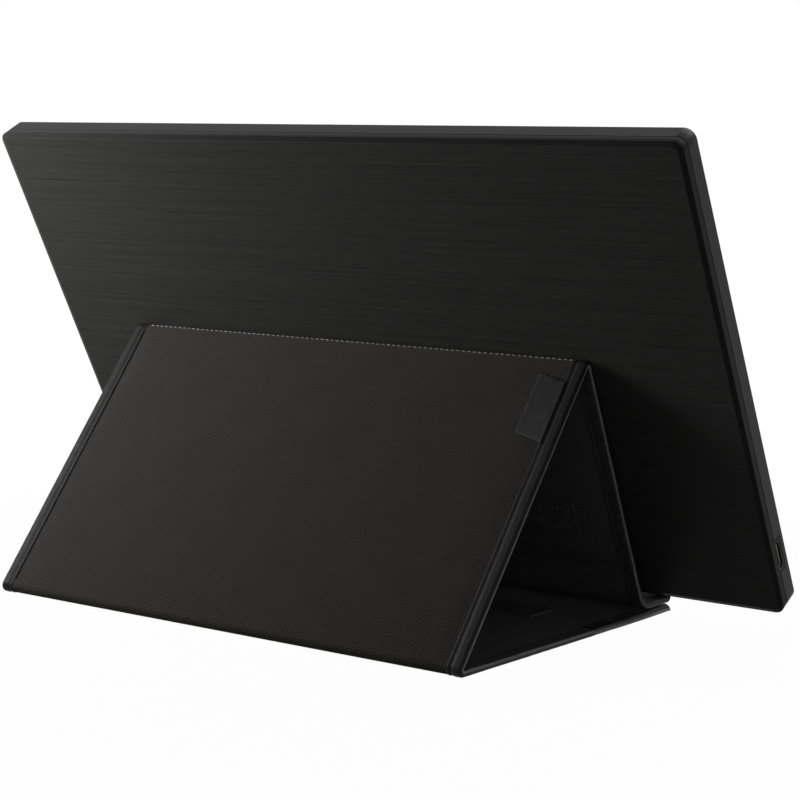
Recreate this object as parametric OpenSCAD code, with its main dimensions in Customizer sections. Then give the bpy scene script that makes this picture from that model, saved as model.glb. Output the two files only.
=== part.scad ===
/* [Monitor body] */
// Width of the monitor
body_w = 382; // [370:1:400]
// Height of the monitor
body_h = 237.5; // [230:0.5:250]
// Depth of the front frame's sides
frame_d = 7.8; // [7.6:0.1:9]
// Groove between the front frame and the rear cover
seam_gap = 0.4; // [0.2:0.1:0.8]
// Depth of the rear cover's straight sides
rear_side_d = 3.6; // [3.4:0.1:5]
// Width of the bevel round the rear cover
bevel_w = 2.4; // [1.5:0.1:3.2]
// Height of that bevel
bevel_d = 1; // [0.6:0.1:1.4]
// Radius of the body's corners
corner_r = 5; // [4:0.5:8]
// Thickness of the frame's face
face_t = 1.6; // [1.2:0.1:1.8]
// Thickness of the frame's side walls
wall = 2.2; // [2:0.1:2.6]
// Thickness of the rear cover's flat plate
rear_plate_t = 1.4; // [1:0.1:1.6]
// Angle between the standing monitor and the floor
lean = 60.8; // [58:0.2:64]

/* [Screen] */
// Width of the frame's border beside the picture area
side_border = 18.9; // [17:0.1:22]
// Width of the frame's border above the picture area
top_border = 17.9; // [15:0.1:22]
// Height of the picture's bottom edge above the body's bottom edge
screen_y = 26; // [25:0.5:28]
// Border of the glass round the picture area
glass_border = 4; // [3:0.5:5]
// Thickness of the foam tape behind the frame's face
tape_foam_t = 0.3; // [0.2:0.1:0.4]
// Thickness of the glass cell with its polarisers
cell_t = 1.1; // [0.9:0.1:1.2]
// Thickness of the two prism films together
prism_t = 0.4; // [0.3:0.1:0.5]
// Thickness of the diffuser sheet
diffuser_t = 0.3; // [0.2:0.1:0.4]
// Thickness of the light guide plate
guide_t = 1.5; // [1.2:0.1:1.6]
// Thickness of the reflector sheet
reflector_t = 0.2; // [0.1:0.1:0.3]
// Thickness of the metal tray behind the screen
tray_t = 0.5; // [0.4:0.1:0.6]

/* [Electronics] */
// Length of the main board
board_w = 100; // [80:1:110]
// Height of the main board
board_h = 40; // [36:1:46]
// Thickness of the main board
board_pcb_t = 1.2; // [1:0.1:1.4]
// Height of the port's middle above the body's bottom edge
port_y = 29; // [26:0.5:34]
// Length of the port's metal shell
port_l = 12.6; // [12:0.1:13]
// Thickness of the port's metal shell
port_t = 2.9; // [2.6:0.1:3]
// Travel of the menu key
key_travel = 0.5; // [0.3:0.1:0.6]
// Length of the menu key
key_w = 10; // [8:0.5:12]
// Height of the menu key
key_h = 3; // [2.5:0.1:3.5]

/* [Cover panels] */
// Width of the cover
cover_w = 264.4; // [250:0.2:275]
// Distance of the cover's middle from the monitor's middle
cover_x = 8.6; // [0:0.1:16]
// Depth of the standing object, from the lip to the rear fold
stand_depth = 179.4; // [174:0.2:186]
// Height of the apex fold's axis above the floor
apex_h = 121.2; // [116:0.2:125]
// Angle between the front panel and the floor
front_angle = 63.8; // [63:0.2:65]
// Height at which the stiff front panel ends
foot_h = 24.5; // [23.5:0.5:30]
// Thickness of a panel: cloth, board and lining
panel_t = 2.4; // [2.2:0.1:3.4]
// Thickness of the outer cloth
skin_t = 0.5; // [0.4:0.1:0.7]
// Thickness of the lining
lining_t = 0.5; // [0.4:0.1:0.7]
// Thickness of the binding tape
tape_t = 0.4; // [0.3:0.1:0.7]
// Width of the binding along each side
tape_w = 7.2; // [5:0.1:8]
// Thickness of the soft cloth at a fold
fold_t = 1.4; // [1:0.1:1.8]
// Length of soft cloth between a fold and its board
fold_flat = 2.5; // [2:0.1:2.8]
// Gap round a fold and at the open seam of the foot
hinge_gap = 0.3; // [0.2:0.1:0.5]

/* [Cover foot] */
// Length of the soft toe of the base panel
toe_len = 72; // [66:0.2:80]
// Thickness of the toe
toe_t = 2.8; // [1.6:0.1:3.2]
// Height that the tip of the toe is lifted
toe_lift = 0.5; // [0.3:0.1:3]
// Length over which the toe lifts
toe_run = 40; // [36:1:42]
// Gap between the tip of the toe and the foot above it
foot_gap = 0.7; // [0.3:0.1:0.9]
// Thickness of the foot's cloth
foot_t = 1.6; // [1.4:0.1:2.6]
// Inside radius of the foot's bend
bend_r = 10; // [8:0.5:12]
// Thickness of the pad on the ledge
pad_t = 4.4; // [3:0.1:5]
// Height of the lip in front of the monitor
lip_h = 13; // [12:0.5:16]
// Room between the lip and the monitor's front face
lip_room = 5.6; // [1:0.1:8]

/* [Cover details] */
// Length of the hook and loop strips
strip_l = 70; // [50:1:90]
// Thickness of a hook or loop strip
strip_t = 1.2; // [0.8:0.1:1.5]
// Width of the loop strip
loop_w = 17; // [14:0.5:20]
// Distance of the loop strip from the apex fold
loop_y = 73.5; // [68:0.5:76]
// Width of the hook strip
hook_w = 20; // [16:0.5:22]
// Width of the hem band
hem_w = 6; // [5:0.5:7]
// Thickness of the hem band
hem_t = 0.6; // [0.4:0.1:0.8]
// Width of the tag
tag_w = 14; // [12:0.5:16]
// Length of the tag
tag_l = 32; // [28:0.5:36]
// Thickness of the tag
tag_t = 1.2; // [0.8:0.1:1.4]
// Distance of the tag from the apex fold
tag_y = 8; // [4:0.5:12]

/* [Fits] */
// Gap between a part that rests and its seat
seat_gap = 0.3; // [0.2:0.1:0.4]
// Gap round the menu key and the tongue of the rear cover
fit_gap = 0.15; // [0.1:0.05:0.2]
// Radius of the small screws' shanks
screw_r = 0.9; // [0.8:0.1:1]
// Radial clearance of a screw in its hole
screw_gap = 0.05; // [0.02:0.01:0.08]

/* [Hidden] */
$fn = 48;

// How far a cutter runs past the face it cuts
cut = 1;
// The two sides of the cover along X
left = 1;
right = -1;

// Depths inside the monitor, counted from the front face
rear_side_0 = frame_d + seam_gap;
rim_d = rear_side_0 + rear_side_d;
body_t = rim_d + bevel_d;
plate_0 = body_t - rear_plate_t;
rabbet_d = frame_d - 1;
rabbet_wall = wall - 1;
foam_0 = face_t;
cell_0 = foam_0 + tape_foam_t;
prism_0 = cell_0 + cell_t;
diffuser_0 = prism_0 + prism_t;
guide_0 = diffuser_0 + diffuser_t;
reflector_0 = guide_0 + guide_t;
tray_0 = reflector_0 + reflector_t;
tray_1 = tray_0 + tray_t;

// Outlines of the screen's layers, which fill the body inside its borders
screen_w = body_w - 2 * side_border;
screen_h = body_h - screen_y - top_border;
glass_w = screen_w + 2 * glass_border;
glass_h = screen_h + 2 * glass_border;
glass_y = screen_y - glass_border;
window_margin = 1;
rail_w = 3;
sheet_w = glass_w - 2 * rail_w;
sheet_h = glass_h - 2 * rail_w;
sheet_y = glass_y + rail_w;
tray_rim = 0.8;
tray_w = glass_w + 2 * tray_rim;
tray_h = glass_h + 2 * tray_rim;
tray_y = glass_y - tray_rim;
led_h = 2;
guide_h = sheet_h - led_h;
ear_l = 6;
ear_h = 10;
ear_x = tray_w / 2 + ear_l - 2.6;
ear_ys = [0.25, 0.75] * body_h;
boss_r = 2.4;
screw_head_r = 1.9;
screw_head_t = 0.8;

// Boards, port and key
driver_h = 10;
driver_y = tray_y - 2 - driver_h;
driver_margin = 22.1;
driver_w = screen_w - 2 * driver_margin;
driver_t = 0.8;
driver_0 = prism_0 + 0.4;
flex_w = 30;
flex_t = 0.2;
flex_count = 5;
flex_bond = 2;
plug_x = -50;
plug_w = 20;
plug_h = 4;
plug_y = driver_y + 2;
plug_d = tray_0 + 0.2;
cable_w = 8;
cable_t = 0.4;
cable_d = tray_1 + seat_gap;
port_d = tray_1 + 0.5;
port_0 = port_d - port_t / 2;
board_0 = port_d + port_t / 2;
board_1 = board_0 + board_pcb_t;
socket_l = 7.5;
shell_t = 0.35;
recess_d = 1;
recess_margin = 0.9;
tab_margin = 2.4;
tab_0 = port_0 - tab_margin;
board_x = -(body_w / 2 - wall - 0.6);
board_y = port_y - board_h / 2;
board_hole_in = 6;
board_hole_up = 4;
board_holes = [for (x = [board_hole_in, board_w - board_hole_in],
    y = [board_hole_up, board_h - board_hole_up]) [x, y]];
coil_w = 4;
coil_h = 3;
coil_t = 0.6;
coil_pitch = 7;
coil_x = 14;
scaler_w = 9;
scaler_t = 0.8;
chip_w = 14;
chip_t = 0.5;
thermal_t = 0.3;
can_w = 24;
can_h = 20;
can_t = 0.2;
can_end = 30;
can_x = board_x + board_w - can_end - can_w;
can_y = board_y + (board_h - can_h) / 2;
key_in = 26;
key_x = body_w / 2 - key_in;
key_y = 11;
key_proud = 0.6;
key_flange = 1.2;
key_flange_t = 0.8;
key_nub_l = 0.4;
switch_h = 1.2;
key_post_left = 10;
key_post_right = key_w / 2 + key_flange + boss_r + 0.6;
button_board_x = key_x - 15;
button_board_w = 35;
button_board_h = 9;
button_0 = face_t + fit_gap + key_flange_t + key_nub_l + key_travel + fit_gap + switch_h;
button_t = 0.8;
led_x = key_x + key_post_right + boss_r + 3.4;
pipe_r = 0.8;
foam_w = 60;
foam_h = 10;

// Section of the cover: the fold's outer radius is a bound panel's whole thickness
board_t = panel_t - skin_t - lining_t;
fold_r = panel_t + 2 * tape_t;
tape_edge = 1.2;
z_lining = -(tape_t + lining_t);
z_board = z_lining - board_t;
z_skin = -(tape_t + panel_t);

// The stand in the Y-Z plane: [y, z]
rear_axis = [stand_depth / 2 - fold_r, fold_r];
lip_y = -stand_depth / 2 + tape_t;
toe_tip_y = -stand_depth / 2;
ledge_z = toe_lift + toe_t + 3 * tape_t + foot_gap;
ledge_top = ledge_z + foot_t;
pad_top = ledge_top + pad_t;
lip_top = ledge_top + lip_h;
up = [cos(lean), sin(lean)];
back = [sin(lean), -cos(lean)];
corner = [lip_y + foot_t + tape_t + seat_gap + lip_room, pad_top + seat_gap + rim_d * cos(lean)];
rest_line = corner + back * (body_t + seat_gap + fold_r);
apex_axis = rest_line + up * (apex_h - rest_line[1]) / up[1];
back_len = norm(apex_axis - rear_axis);
back_angle = atan2(apex_axis[1] - rear_axis[1], rear_axis[0] - apex_axis[0]);
apex_angle = 180 - back_angle - front_angle;
front_len = (apex_axis[1] - foot_h) / sin(front_angle);
base_len = rear_axis[0] - toe_tip_y - toe_len;
back_end = back_len - fold_flat;

// The foot's bend starts square to the front panel's line and ends level
bend_z = ledge_top + bend_r;
bend_rise = cos(front_angle) * (bend_z - apex_axis[1]);
bend_y = apex_axis[0] + (bend_rise - (tape_t + panel_t + bend_r)) / sin(front_angle);
bend_from_apex = [bend_y, bend_z] - apex_axis;
foot_start = front_len + hinge_gap;
pad_l = bend_y - lip_y - foot_t;

// The loop strip starts this far from the panel's right edge, and the hook strip a little further in
loop_end = 24.7;
hook_end = loop_end + 10;
hook_y = toe_tip_y + toe_len - hook_w - 2;
// How much higher the tag's far corners sit than those at the binding
tag_skew = 3.6;

// Places and simple forms
module in_monitor() {
    translate([0, corner[0], corner[1]]) rotate([lean, 0, 0]) children();
}
module at_base() {
    translate([cover_x, rear_axis[0], rear_axis[1]]) mirror([0, 1, 0]) children();
}
module at_back() {
    translate([cover_x, rear_axis[0], rear_axis[1]]) rotate([180 - back_angle, 0, 0]) children();
}
module at_front() {
    translate([cover_x, apex_axis[0], apex_axis[1]]) rotate([180 + front_angle, 0, 0]) children();
}
// A box given by its left, its bottom, its size and the depths of its two faces
module block(x, y, w, h, d0, d1) {
    translate([x, y, -d1]) cube([w, h, d1 - d0]);
}
// A box that is centred across the monitor
module middle_block(y, w, h, d0, d1) {
    block(-w / 2, y, w, h, d0, d1);
}
// A pin between two depths
module post(x, y, r, d0, d1) {
    translate([x, y, -d1]) cylinder(r = r, h = d1 - d0);
}
// The body's outline, drawn in by an inset
module outline(inset) {
    r = max(corner_r - inset, 0.6);
    w = body_w - 2 * inset;
    h = body_h - 2 * inset;
    translate([0, body_h / 2]) {
        square([w - 2 * r, h], center = true);
        square([w, h - 2 * r], center = true);
        for (sx = [-1, 1], sy = [-1, 1])
            translate([sx * (w / 2 - r), sy * (h / 2 - r)]) circle(r = r);
    }
}
module shell(inset, d0, d1) {
    translate([0, 0, -d1]) linear_extrude(height = d1 - d0) outline(inset);
}
// A bar of the body's length whose two long edges are bevelled towards the rear
module bevelled_bar(length, across) {
    half = across / 2;
    rotate([90, 0, 90]) translate([0, 0, -length / 2]) linear_extrude(height = length)
        polygon([[-half, 0], [half, 0], [half - bevel_w, -bevel_d], [-(half - bevel_w), -bevel_d]]);
}
module bevelled_plate() {
    translate([0, body_h / 2, -rim_d]) {
        bevelled_bar(body_w - 2 * corner_r, body_h);
        rotate([0, 0, 90]) bevelled_bar(body_h - 2 * corner_r, body_w);
        for (sx = [-1, 1], sy = [-1, 1])
            translate([sx * (body_w / 2 - corner_r), sy * (body_h / 2 - corner_r), -bevel_d])
                cylinder(r1 = corner_r - bevel_w, r2 = corner_r, h = bevel_d);
    }
}
// A profile in the Y-Z plane, drawn out along X about the middle
module along_x(length) {
    rotate([90, 0, 90]) translate([0, 0, -length / 2]) linear_extrude(height = length) children();
}

// Monitor: front frame and screen
module front_bezel() {
    color([0.07, 0.07, 0.075]) in_monitor() {
        difference() {
            shell(0, 0, frame_d);
            shell(wall, face_t, rabbet_d);
            shell(rabbet_wall, rabbet_d, frame_d + cut);
            window_w = screen_w + 2 * window_margin;
            window_h = screen_h + 2 * window_margin;
            middle_block(screen_y - window_margin, window_w, window_h, -cut, face_t + cut);
            key_hole_w = key_w + 2 * fit_gap;
            key_hole_h = key_h + 2 * fit_gap;
            block(key_x - key_hole_w / 2, key_y - key_hole_h / 2, key_hole_w, key_hole_h,
                -cut, face_t + cut);
            post(led_x, key_y, pipe_r + screw_gap, -cut, face_t + cut);
            tab_h = port_l + 2 * tab_margin + 2 * fit_gap;
            block(-body_w / 2 - cut, port_y - tab_h / 2, wall + 2 * cut, tab_h,
                tab_0 - fit_gap, frame_d + cut);
        }
        for (side = [-1, 1], y = ear_ys) pierced_post(side * ear_x, y, face_t, tray_0);
        for (x = button_board_screws()) pierced_post(x, key_y, face_t, button_0);
    }
}
function button_board_screws() = [key_x - key_post_left, key_x + key_post_right];
module pierced_post(x, y, d0, d1) {
    difference() {
        post(x, y, boss_r, d0 - 0.2, d1);
        post(x, y, screw_r + screw_gap, d0 + 0.2, d1 + cut);
    }
}
module bezel_tape() {
    color([0.05, 0.05, 0.05]) in_monitor() difference() {
        middle_block(glass_y, glass_w, glass_h, foam_0, cell_0);
        inner_w = screen_w + 2 * window_margin;
        inner_h = screen_h + 2 * window_margin;
        middle_block(screen_y - window_margin, inner_w, inner_h, foam_0 - cut, cell_0 + cut);
    }
}
module lcd_cell() {
    color([0.03, 0.035, 0.04]) in_monitor()
        middle_block(glass_y, glass_w, glass_h, cell_0, prism_0);
}
module prism_films() {
    color([0.85, 0.87, 0.9]) in_monitor()
        middle_block(sheet_y, sheet_w, sheet_h, prism_0, diffuser_0);
}
module diffuser_sheet() {
    color([0.93, 0.93, 0.93]) in_monitor()
        middle_block(sheet_y, sheet_w, sheet_h, diffuser_0, guide_0);
}
module light_guide() {
    color([0.8, 0.88, 0.9]) in_monitor()
        middle_block(sheet_y + led_h, sheet_w, guide_h, guide_0, reflector_0);
}
module reflector_sheet() {
    color([0.97, 0.97, 0.97]) in_monitor()
        middle_block(sheet_y, sheet_w, sheet_h, reflector_0, tray_0);
}
module led_strip() {
    color([0.95, 0.9, 0.6]) in_monitor()
        middle_block(sheet_y, sheet_w - 6, led_h, guide_0, reflector_0);
}
module panel_frame() {
    color([0.9, 0.9, 0.88]) in_monitor() difference() {
        middle_block(glass_y, glass_w, glass_h, prism_0, tray_0);
        middle_block(sheet_y, sheet_w, sheet_h, prism_0 - cut, tray_0 + cut);
    }
}
module panel_tray() {
    color([0.7, 0.71, 0.73]) in_monitor() {
        difference() {
            middle_block(tray_y, tray_w, tray_h, guide_0, tray_1);
            middle_block(glass_y, glass_w, glass_h, guide_0 - cut, tray_0);
        }
        for (side = [-1, 1], y = ear_ys) difference() {
            near = tray_w / 2 - 1;
            block(side > 0 ? near : -near - ear_l - 1, y - ear_h / 2, ear_l + 1, ear_h,
                tray_0, tray_1);
            post(side * ear_x, y, screw_r + 0.2, tray_0 - cut, tray_1 + cut);
        }
    }
}
// A screw whose head lies behind the given depth and whose shank points forward
module screw(x, y, d0, d1) {
    post(x, y, screw_r, d0, d1 + 0.1);
    post(x, y, screw_head_r, d1, d1 + screw_head_t);
}
module panel_screws() {
    color([0.6, 0.6, 0.62]) in_monitor()
        for (side = [-1, 1], y = ear_ys) screw(side * ear_x, y, tray_0 - 2.5, tray_1);
}
module driver_board() {
    color([0.08, 0.3, 0.16]) in_monitor() {
        middle_block(driver_y, driver_w, driver_h, driver_0, driver_0 + driver_t);
        block(plug_x, plug_y, plug_w, plug_h, driver_0 + driver_t, plug_d);
    }
}
module driver_flex() {
    y = driver_y + driver_h / 2;
    color([0.75, 0.5, 0.2]) in_monitor()
        for (i = [0 : flex_count - 1]) {
            x = (i - (flex_count - 1) / 2) * driver_w / flex_count - flex_w / 2;
            block(x, y, flex_w, glass_y - y, prism_0 - flex_t, prism_0);
            block(x, y, flex_w, flex_bond, prism_0 - flex_t, driver_0);
        }
}
module panel_cable() {
    end_x = board_x + board_w - board_hole_in - screw_head_r - seat_gap - cable_w;
    cable_1 = cable_d + cable_t;
    color([0.1, 0.1, 0.1]) in_monitor() {
        block(plug_x, plug_y, plug_w, plug_h, plug_d, cable_1);
        block(end_x, plug_y, plug_x + plug_w - end_x, plug_h, cable_d, cable_1);
        block(end_x, board_y + 1, cable_w, plug_h, cable_d, board_0);
    }
}

// Monitor: boards, port and key
module main_board() {
    color([0.06, 0.28, 0.18]) in_monitor() {
        difference() {
            block(board_x, board_y, board_w, board_h, board_0, board_1);
            for (p = board_holes)
                post(board_x + p[0], board_y + p[1], screw_r + 0.2, board_0 - cut, board_1 + cut);
        }
        for (i = [0 : 3])
            block(board_x + coil_x + i * coil_pitch, board_y + 6, coil_w, coil_h,
                board_0 - coil_t, board_0);
        block(board_x + coil_x, board_y + board_h - scaler_w - 3, scaler_w, scaler_w,
            board_0 - scaler_t, board_0);
    }
}
module controller_chip() {
    color([0.05, 0.05, 0.055]) in_monitor()
        block(can_x + (can_w - chip_w) / 2, can_y + (can_h - chip_w) / 2, chip_w, chip_w,
            board_0 - chip_t, board_0);
}
module thermal_pad() {
    pad_w = chip_w - 2;
    color([0.75, 0.78, 0.8]) in_monitor()
        block(can_x + (can_w - pad_w) / 2, can_y + (can_h - pad_w) / 2, pad_w, pad_w,
            board_0 - chip_t - thermal_t, board_0 - chip_t);
}
module shield_can() {
    top = board_0 - chip_t - thermal_t - can_t;
    color([0.78, 0.78, 0.76]) in_monitor() difference() {
        block(can_x, can_y, can_w, can_h, top, board_0);
        block(can_x + can_t, can_y + can_t, can_w - 2 * can_t, can_h - 2 * can_t,
            top + can_t, board_0 + cut);
    }
}
module usb_socket() {
    x = -body_w / 2 + recess_d;
    inner_t = port_t - 2 * shell_t;
    inner_l = port_l - 2 * shell_t;
    color([0.75, 0.75, 0.76]) in_monitor() difference() {
        block(x, port_y - port_l / 2, socket_l, port_l, port_0, board_0);
        block(x - cut, port_y - inner_l / 2, socket_l - 0.6 + cut, inner_l,
            port_d - inner_t / 2, port_d + inner_t / 2);
    }
}
module usb_tongue() {
    x = -body_w / 2 + recess_d;
    tongue_l = port_l - 2.8;
    color([0.45, 0.33, 0.18]) in_monitor() {
        block(x + 1, port_y - tongue_l / 2, socket_l - 1.6, tongue_l, port_d - 0.35, port_d + 0.35);
        for (i = [0 : 4]) block(x + 1.2, port_y - tongue_l / 2 + 0.6 + i * 1.9, 3.6, 0.8,
            port_d - 0.5, port_d - 0.3);
    }
}
module board_screws() {
    color([0.55, 0.55, 0.57]) in_monitor() {
        for (p = board_holes) {
            x = board_x + p[0];
            y = board_y + p[1];
            post(x, y, screw_r, board_0 - 0.1, plate_0 - 0.3);
            post(x, y, screw_head_r, board_0 - screw_head_t, board_0);
        }
        for (x = button_board_screws()) screw(x, key_y, face_t + 0.4, button_0 + button_t);
    }
}
module button_board() {
    color([0.08, 0.3, 0.16]) in_monitor() difference() {
        block(button_board_x, key_y - button_board_h / 2, button_board_w, button_board_h,
            button_0, button_0 + button_t);
        for (x = button_board_screws())
            post(x, key_y, screw_r + 0.2, button_0 - cut, button_0 + button_t + cut);
    }
}
module menu_switch() {
    color([0.2, 0.2, 0.2]) in_monitor() {
        half = 3;
        plunger_l = 0.4;
        block(key_x - half, key_y - half, 2 * half, 2 * half, button_0 - switch_h + plunger_l, button_0);
        post(key_x, key_y, 1.2, button_0 - switch_h, button_0 - switch_h + plunger_l + 0.1);
    }
}
module menu_key() {
    flange_0 = face_t + fit_gap;
    flange_w = key_w + 2 * key_flange;
    flange_h = key_h + 2 * key_flange;
    color([0.09, 0.09, 0.095]) in_monitor() {
        block(key_x - key_w / 2, key_y - key_h / 2, key_w, key_h, -key_proud, flange_0);
        block(key_x - flange_w / 2, key_y - flange_h / 2, flange_w, flange_h,
            flange_0, flange_0 + key_flange_t);
        post(key_x, key_y, 1, flange_0 + key_flange_t - 0.1, flange_0 + key_flange_t + key_nub_l);
    }
}
module light_pipe() {
    color([0.85, 0.9, 0.95]) in_monitor() {
        post(led_x, key_y, pipe_r, 0, button_0 - 0.5);
        post(led_x, key_y, pipe_r + 0.4, button_0 - 1, button_0);
    }
}
module foam_spacers() {
    color([0.12, 0.12, 0.12]) in_monitor()
        for (x = [-foam_w * 2, -foam_w / 2, foam_w], y = [0.4, 0.85])
            block(x, y * body_h, foam_w, foam_h, tray_1, plate_0);
}

// Monitor: rear cover with its tongue, its tab round the port and the board's posts
module rear_cover() {
    tab_h = port_l + 2 * tab_margin;
    recess_h = port_l + 2 * recess_margin;
    hole_h = port_l + 2 * fit_gap;
    tongue_d = rear_side_0 + 1;
    color([0.11, 0.11, 0.112]) in_monitor() difference() {
        union() {
            difference() {
                union() {
                    shell(0, rear_side_0, rim_d);
                    bevelled_plate();
                }
                shell(wall - 0.6, rear_side_0 - cut, plate_0);
            }
            difference() {
                shell(rabbet_wall + fit_gap, rabbet_d, tongue_d);
                shell(wall + 0.2, rabbet_d - cut, tongue_d + cut);
            }
            block(-body_w / 2, port_y - tab_h / 2, wall, tab_h, tab_0, rear_side_0 + cut);
            for (p = board_holes) difference() {
                post(board_x + p[0], board_y + p[1], boss_r, board_1, plate_0 + 0.2);
                post(board_x + p[0], board_y + p[1], screw_r + screw_gap, board_1 - cut, plate_0);
            }
        }
        block(-body_w / 2 - cut, port_y - recess_h / 2, recess_d + cut, recess_h,
            port_0 - recess_margin, board_0 + recess_margin);
        block(-body_w / 2 - cut, port_y - hole_h / 2, wall + 3 * cut, hole_h,
            port_0 - fit_gap, board_0 + fit_gap);
    }
}

// Cover: one layer of a panel between two stations along it
module layer(y0, y1, z0, z1, edge) {
    translate([-(cover_w / 2 - edge), y0, z0]) cube([cover_w - 2 * edge, y1 - y0, z1 - z0]);
}
// A tape folded over the panel's side edge, with a half-round outer edge
module binding(side, y0, y1) {
    r = fold_r / 2;
    slot = tape_w - tape_edge;
    translate([side * (cover_w / 2 - tape_w), 0, 0]) mirror([side > 0 ? 0 : 1, 0, 0]) difference() {
        union() {
            translate([0, y0, -fold_r]) cube([tape_w - r, y1 - y0, fold_r]);
            translate([tape_w - r, y0, -r]) rotate([-90, 0, 0]) cylinder(r = r, h = y1 - y0);
        }
        translate([-cut, y0 - cut, z_skin]) cube([slot + cut, y1 - y0 + 2 * cut, panel_t]);
    }
}
// Keeps a panel clear of the fold that its neighbour carries
module clear_of_fold() {
    difference() {
        children();
        rotate([0, 90, 0]) cylinder(r = fold_r + hinge_gap, h = cover_w + 2 * cut, center = true);
    }
}
// Soft cloth round a fold: it leaves its own panel flat and wraps round to the next one
module fold_profile(inner_angle) {
    sweep = 180 - inner_angle;
    steps = 6;
    reach = 3 * fold_r;
    intersection() {
        difference() {
            circle(r = fold_r);
            circle(r = fold_r - fold_t);
        }
        polygon(concat([[0, 0]], [for (i = [0 : steps])
            reach * [cos(-90 - sweep * i / steps), sin(-90 - sweep * i / steps)]]));
    }
    translate([0, -fold_r]) square([fold_flat, fold_t]);
}
module fold_strip(inner_angle) {
    along_x(cover_w - 2 * tape_edge) fold_profile(inner_angle);
}

// Cover: base panel
module base_board() {
    color([0.3, 0.3, 0.3]) at_base()
        layer(fold_flat, base_len, z_board, z_lining, tape_edge);
}
module base_skin() {
    color([0.17, 0.165, 0.155]) at_base() {
        layer(fold_flat, base_len, z_skin, z_board, tape_edge);
        layer(fold_flat, base_len, -fold_r, z_skin, tape_w);
    }
}
module base_lining() {
    color([0.1, 0.1, 0.1]) at_base()
        layer(fold_flat, base_len, z_lining, -tape_t, tape_edge);
}
module base_binding_left() {
    color([0.08, 0.08, 0.085]) at_base() binding(left, fold_flat, base_len);
}
module base_binding_right() {
    color([0.08, 0.08, 0.085]) at_base() binding(right, fold_flat, base_len);
}
// The toe's section: level behind, and lifted along a parabola towards its tip
function toe_height(d) = toe_lift * pow(max(1 - d / toe_run, 0), 2);
module toe_profile(grow) {
    steps = 10;
    stations = concat([for (i = [0 : steps]) toe_run * i / steps], [toe_len]);
    low = tape_t - grow;
    high = tape_t + toe_t + grow;
    polygon(concat(
        [for (d = stations) [toe_tip_y + d, low + toe_height(d)]],
        [for (i = [len(stations) - 1 : -1 : 0])
            [toe_tip_y + stations[i], high + toe_height(stations[i])]]));
}
module toe_cloth() {
    color([0.12, 0.12, 0.12]) translate([cover_x, 0, 0])
        along_x(cover_w - 2 * tape_edge) toe_profile(0);
}
// A tape folded over the side of a curved cloth
module curved_binding(side) {
    slot = tape_w - tape_edge;
    translate([cover_x + side * (cover_w / 2 - tape_w / 2), 0, 0]) difference() {
        along_x(tape_w) children(0);
        translate([-side * (tape_edge / 2 + cut / 2), 0, 0]) along_x(slot + cut) children(1);
    }
}
module toe_binding(side) {
    curved_binding(side) {
        toe_profile(tape_t);
        toe_profile(0);
    }
}
module toe_binding_left() {
    color([0.08, 0.08, 0.085]) toe_binding(left);
}
module toe_binding_right() {
    color([0.08, 0.08, 0.085]) toe_binding(right);
}

// Cover: the soft foot that turns forward under the monitor and up in front of it
function arc_points(centre, r, from, to, steps) =
    [for (i = [0 : steps]) centre + r * dir(from + (to - from) * i / steps)];
function dir(angle) = [cos(angle), sin(angle)];
function front_point(along, inward) =
    apex_axis + along * dir(180 + front_angle) + inward * dir(front_angle - 90);
module foot_profile(grow) {
    bend_steps = 12;
    heel_steps = 6;
    bend = [bend_y, bend_z];
    upper_r = bend_r - grow;
    lower_r = bend_r + foot_t + grow;
    heel = [lip_y + foot_t, ledge_top];
    polygon(concat(
        [front_point(foot_start, z_skin - grow)],
        arc_points(bend, upper_r, front_angle - 90, -90, bend_steps),
        [heel + [grow, grow], [heel[0] + grow, lip_top], [lip_y - grow, lip_top]],
        arc_points(heel, foot_t + grow, 180, 270, heel_steps),
        arc_points(bend, lower_r, -90, front_angle - 90, bend_steps),
        [front_point(foot_start, z_skin + foot_t + grow)]));
}
module stay_profile() {
    stay_t = 0.8;
    translate([lip_y + (foot_t - stay_t) / 2, ledge_top + 1]) square([stay_t, lip_h - 2]);
}
module foot_cloth() {
    color([0.12, 0.12, 0.12]) translate([cover_x, 0, 0]) difference() {
        along_x(cover_w - 2 * tape_edge) foot_profile(0);
        along_x(cover_w - 2 * tape_w) stay_profile();
    }
}
module foot_binding(side) {
    curved_binding(side) {
        foot_profile(tape_t);
        foot_profile(0);
    }
}
module foot_binding_left() {
    color([0.08, 0.08, 0.085]) foot_binding(left);
}
module foot_binding_right() {
    color([0.08, 0.08, 0.085]) foot_binding(right);
}
module lip_stay() {
    color([0.6, 0.6, 0.6]) translate([cover_x, 0, 0])
        along_x(cover_w - 2 * tape_w) stay_profile();
}
module ledge_pad() {
    color([0.09, 0.09, 0.09]) translate([cover_x, 0, 0]) along_x(cover_w - 2 * tape_w)
        translate([lip_y + foot_t, ledge_top]) square([pad_l, pad_t]);
}
module hook_strip() {
    color([0.1, 0.1, 0.1]) translate([cover_x - cover_w / 2 + hook_end, hook_y, tape_t + toe_t])
        cube([strip_l, hook_w, strip_t]);
}
module rear_fold() {
    color([0.17, 0.165, 0.155]) at_base() fold_strip(back_angle);
}

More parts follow.
